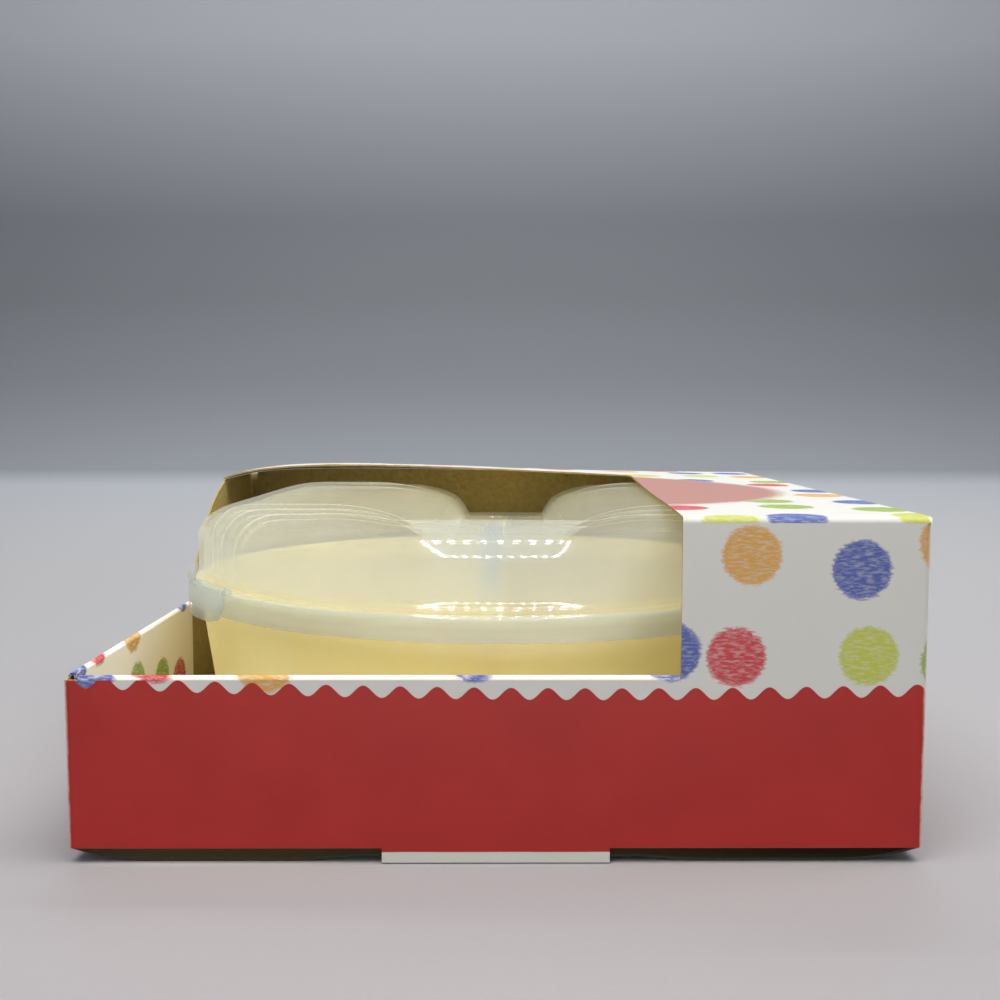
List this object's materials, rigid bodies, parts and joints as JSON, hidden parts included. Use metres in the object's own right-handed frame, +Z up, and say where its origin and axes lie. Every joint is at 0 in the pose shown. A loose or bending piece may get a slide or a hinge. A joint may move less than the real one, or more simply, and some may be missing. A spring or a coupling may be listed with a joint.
{
  "type": "two-compartment food container in open carton",
  "caption": "Round food keeper: tub with a dividing wall and frosted press-on lid with twin domes, in a low window carton with a hinged top.",
  "frame": {"origin": "centre of the carton's footprint, on the surface it stands on", "axes": "+Z up, the low open front faces -Y, +X to the right seen from the front"},
  "size_m": [0.165, 0.165, 0.0712],
  "materials": {
    "carton_board": "white-coated printed face, raw grey-brown back",
    "tub_plastic": "moulded polypropylene, satin",
    "lid_plastic": "frosted translucent polyethylene"
  },
  "bodies": {
    "carton": {"carton_front_panel": "carton_board", "carton_right_panel": "carton_board", "carton_back_panel": "carton_board", "carton_left_panel": "carton_board", "carton_front_liner": "carton_board", "carton_left_liner": "carton_board", "carton_side_seam_flap": "carton_board", "carton_bottom_right_flap": "carton_board", "carton_bottom_left_flap": "carton_board", "carton_bottom_front_tongue": "carton_board", "carton_bottom_back_tongue": "carton_board"},
    "carton_top": {"carton_top_panel": "carton_board", "carton_tuck_flap": "carton_board"},
    "container": {"tub": "tub_plastic"},
    "lid": {"lid": "lid_plastic"}
  },
  "joints": [
    {"name": "carton_top_hinge", "type": "hinge", "parent": "carton", "child": "carton_top", "pos_m": [0, -0.0825, 0.0661], "axis": [1, 0, 0], "range_deg": [0, 180]},
    {"name": "container_lift", "type": "slide", "parent": "carton", "child": "container", "axis": [0, 0, 1], "range_m": [0, 0.0202]},
    {"name": "lid_lift", "type": "slide", "parent": "container", "child": "lid", "axis": [0, 0, 1], "range_m": [0, 0.0502]}
  ],
  "couplings": [
    {"joint": "container_lift", "follows": "carton_top_hinge", "m_per_rad": 0.0063662},
    {"joint": "lid_lift", "follows": "carton_top_hinge", "m_per_rad": 0.015915}
  ]
}
